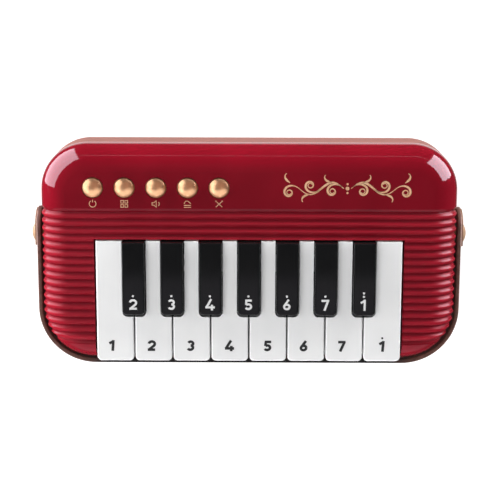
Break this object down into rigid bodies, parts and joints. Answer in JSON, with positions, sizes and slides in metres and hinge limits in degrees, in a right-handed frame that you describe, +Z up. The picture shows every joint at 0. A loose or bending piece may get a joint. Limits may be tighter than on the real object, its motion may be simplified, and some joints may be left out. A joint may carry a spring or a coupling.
{
  "type": "toy piano",
  "caption": "Pocket toy piano: reeded red case with white and black key levers, gold push-buttons, a leather carrying strap on side studs, and a battery bay at the back.",
  "frame": {"origin": "on the surface it rests on, under the middle of the overall bounding box", "axes": "+X to the player's right, +Y away from the player, +Z up out of the keys"},
  "size_m": [0.1704, 0.0874, 0.0396],
  "materials": {
    "red_plastic": "high gloss",
    "copper_plastic": "satin metallic",
    "black_plastic": "matt",
    "white_plastic": "satin",
    "black_gloss": "gloss",
    "gold_plastic": "plated gold",
    "gold_metal": "polished",
    "leather": "smooth with a fine grain",
    "steel": "satin",
    "board": "satin",
    "silicone": "matt",
    "paper_cone": "matt",
    "magnet": "matt",
    "wire": "satin",
    "cell": "printed sleeve, plain",
    "foot_rubber": "matt"
  },
  "bodies": {
    "case": {"front_shell": "red_plastic", "rear_shell": "copper_plastic", "key_bed": "black_plastic", "key_pivot_rod": "steel", "circuit_board": "board", "control_chip": "black_plastic", "memory_chip": "black_plastic", "key_dome_strip": "silicone", "button_dome_strip": "silicone", "left_strap_stud": "gold_metal", "right_strap_stud": "gold_metal", "speaker_frame": "steel", "speaker_cone": "paper_cone", "speaker_magnet": "magnet", "speaker_leads": "wire", "battery_cells": "cell", "battery_contacts": "steel", "battery_leads": "wire", "case_screws": "steel", "bed_screws": "steel", "board_screws": "steel", "rubber_feet": "foot_rubber"},
    "white_key_1_lever": {"white_key_1": "white_plastic"},
    "white_key_2_lever": {"white_key_2": "white_plastic"},
    "white_key_3_lever": {"white_key_3": "white_plastic"},
    "white_key_4_lever": {"white_key_4": "white_plastic"},
    "white_key_5_lever": {"white_key_5": "white_plastic"},
    "white_key_6_lever": {"white_key_6": "white_plastic"},
    "white_key_7_lever": {"white_key_7": "white_plastic"},
    "white_key_8_lever": {"white_key_8": "white_plastic"},
    "black_key_1_lever": {"black_key_1": "black_gloss"},
    "black_key_2_lever": {"black_key_2": "black_gloss"},
    "black_key_3_lever": {"black_key_3": "black_gloss"},
    "black_key_4_lever": {"black_key_4": "black_gloss"},
    "black_key_5_lever": {"black_key_5": "black_gloss"},
    "black_key_6_lever": {"black_key_6": "black_gloss"},
    "black_key_7_lever": {"black_key_7": "black_gloss"},
    "power_button_cap": {"power_button": "gold_plastic"},
    "tone_button_cap": {"tone_button": "gold_plastic"},
    "volume_button_cap": {"volume_button": "gold_plastic"},
    "demo_button_cap": {"demo_button": "gold_plastic"},
    "rhythm_button_cap": {"rhythm_button": "gold_plastic"},
    "strap": {"strap_band": "leather", "strap_eyelets": "gold_metal"},
    "battery_lid": {"battery_cover": "copper_plastic", "battery_cover_screw": "steel"}
  },
  "joints": [
    {"name": "white_key_1_press", "type": "hinge", "parent": "case", "child": "white_key_1_lever", "pos_m": [0, 0.0133, 0.03], "axis": [1, 0, 0], "range_deg": [0, 3.5], "stiffness_Nm_per_rad": 0.12, "springref_deg": -2.29, "deforming": ["key_dome_strip"]},
    {"name": "white_key_2_press", "type": "hinge", "parent": "case", "child": "white_key_2_lever", "pos_m": [0, 0.0133, 0.03], "axis": [1, 0, 0], "range_deg": [0, 3.5], "stiffness_Nm_per_rad": 0.12, "springref_deg": -2.29, "deforming": ["key_dome_strip"]},
    {"name": "white_key_3_press", "type": "hinge", "parent": "case", "child": "white_key_3_lever", "pos_m": [0, 0.0133, 0.03], "axis": [1, 0, 0], "range_deg": [0, 3.5], "stiffness_Nm_per_rad": 0.12, "springref_deg": -2.29, "deforming": ["key_dome_strip"]},
    {"name": "white_key_4_press", "type": "hinge", "parent": "case", "child": "white_key_4_lever", "pos_m": [0, 0.0133, 0.03], "axis": [1, 0, 0], "range_deg": [0, 3.5], "stiffness_Nm_per_rad": 0.12, "springref_deg": -2.29, "deforming": ["key_dome_strip"]},
    {"name": "white_key_5_press", "type": "hinge", "parent": "case", "child": "white_key_5_lever", "pos_m": [0, 0.0133, 0.03], "axis": [1, 0, 0], "range_deg": [0, 3.5], "stiffness_Nm_per_rad": 0.12, "springref_deg": -2.29, "deforming": ["key_dome_strip"]},
    {"name": "white_key_6_press", "type": "hinge", "parent": "case", "child": "white_key_6_lever", "pos_m": [0, 0.0133, 0.03], "axis": [1, 0, 0], "range_deg": [0, 3.5], "stiffness_Nm_per_rad": 0.12, "springref_deg": -2.29, "deforming": ["key_dome_strip"]},
    {"name": "white_key_7_press", "type": "hinge", "parent": "case", "child": "white_key_7_lever", "pos_m": [0, 0.0133, 0.03], "axis": [1, 0, 0], "range_deg": [0, 3.5], "stiffness_Nm_per_rad": 0.12, "springref_deg": -2.29, "deforming": ["key_dome_strip"]},
    {"name": "white_key_8_press", "type": "hinge", "parent": "case", "child": "white_key_8_lever", "pos_m": [0, 0.0133, 0.03], "axis": [1, 0, 0], "range_deg": [0, 3.5], "stiffness_Nm_per_rad": 0.12, "springref_deg": -2.29, "deforming": ["key_dome_strip"]},
    {"name": "black_key_1_press", "type": "hinge", "parent": "case", "child": "black_key_1_lever", "pos_m": [0, 0.0133, 0.03], "axis": [1, 0, 0], "range_deg": [0, 3.5], "stiffness_Nm_per_rad": 0.12, "springref_deg": -2.29, "deforming": ["key_dome_strip"]},
    {"name": "black_key_2_press", "type": "hinge", "parent": "case", "child": "black_key_2_lever", "pos_m": [0, 0.0133, 0.03], "axis": [1, 0, 0], "range_deg": [0, 3.5], "stiffness_Nm_per_rad": 0.12, "springref_deg": -2.29, "deforming": ["key_dome_strip"]},
    {"name": "black_key_3_press", "type": "hinge", "parent": "case", "child": "black_key_3_lever", "pos_m": [0, 0.0133, 0.03], "axis": [1, 0, 0], "range_deg": [0, 3.5], "stiffness_Nm_per_rad": 0.12, "springref_deg": -2.29, "deforming": ["key_dome_strip"]},
    {"name": "black_key_4_press", "type": "hinge", "parent": "case", "child": "black_key_4_lever", "pos_m": [0, 0.0133, 0.03], "axis": [1, 0, 0], "range_deg": [0, 3.5], "stiffness_Nm_per_rad": 0.12, "springref_deg": -2.29, "deforming": ["key_dome_strip"]},
    {"name": "black_key_5_press", "type": "hinge", "parent": "case", "child": "black_key_5_lever", "pos_m": [0, 0.0133, 0.03], "axis": [1, 0, 0], "range_deg": [0, 3.5], "stiffness_Nm_per_rad": 0.12, "springref_deg": -2.29, "deforming": ["key_dome_strip"]},
    {"name": "black_key_6_press", "type": "hinge", "parent": "case", "child": "black_key_6_lever", "pos_m": [0, 0.0133, 0.03], "axis": [1, 0, 0], "range_deg": [0, 3.5], "stiffness_Nm_per_rad": 0.12, "springref_deg": -2.29, "deforming": ["key_dome_strip"]},
    {"name": "black_key_7_press", "type": "hinge", "parent": "case", "child": "black_key_7_lever", "pos_m": [0, 0.0133, 0.03], "axis": [1, 0, 0], "range_deg": [0, 3.5], "stiffness_Nm_per_rad": 0.12, "springref_deg": -2.29, "deforming": ["key_dome_strip"]},
    {"name": "power_button_press", "type": "slide", "parent": "case", "child": "power_button_cap", "axis": [0, 0, -1], "range_m": [0, 0.001], "stiffness_N_per_m": 400, "springref_m": -0.0005, "deforming": ["button_dome_strip"]},
    {"name": "tone_button_press", "type": "slide", "parent": "case", "child": "tone_button_cap", "axis": [0, 0, -1], "range_m": [0, 0.001], "stiffness_N_per_m": 400, "springref_m": -0.0005, "deforming": ["button_dome_strip"]},
    {"name": "volume_button_press", "type": "slide", "parent": "case", "child": "volume_button_cap", "axis": [0, 0, -1], "range_m": [0, 0.001], "stiffness_N_per_m": 400, "springref_m": -0.0005, "deforming": ["button_dome_strip"]},
    {"name": "demo_button_press", "type": "slide", "parent": "case", "child": "demo_button_cap", "axis": [0, 0, -1], "range_m": [0, 0.001], "stiffness_N_per_m": 400, "springref_m": -0.0005, "deforming": ["button_dome_strip"]},
    {"name": "rhythm_button_press", "type": "slide", "parent": "case", "child": "rhythm_button_cap", "axis": [0, 0, -1], "range_m": [0, 0.001], "stiffness_N_per_m": 400, "springref_m": -0.0005, "deforming": ["button_dome_strip"]},
    {"name": "strap_swing", "type": "hinge", "parent": "case", "child": "strap", "pos_m": [0, 0.0073, 0.0185], "axis": [1, 0, 0], "range_deg": [0, 180]},
    {"name": "battery_cover_lift", "type": "slide", "parent": "case", "child": "battery_lid", "axis": [0, 0, -1], "range_m": [0, 0.02]}
  ]
}
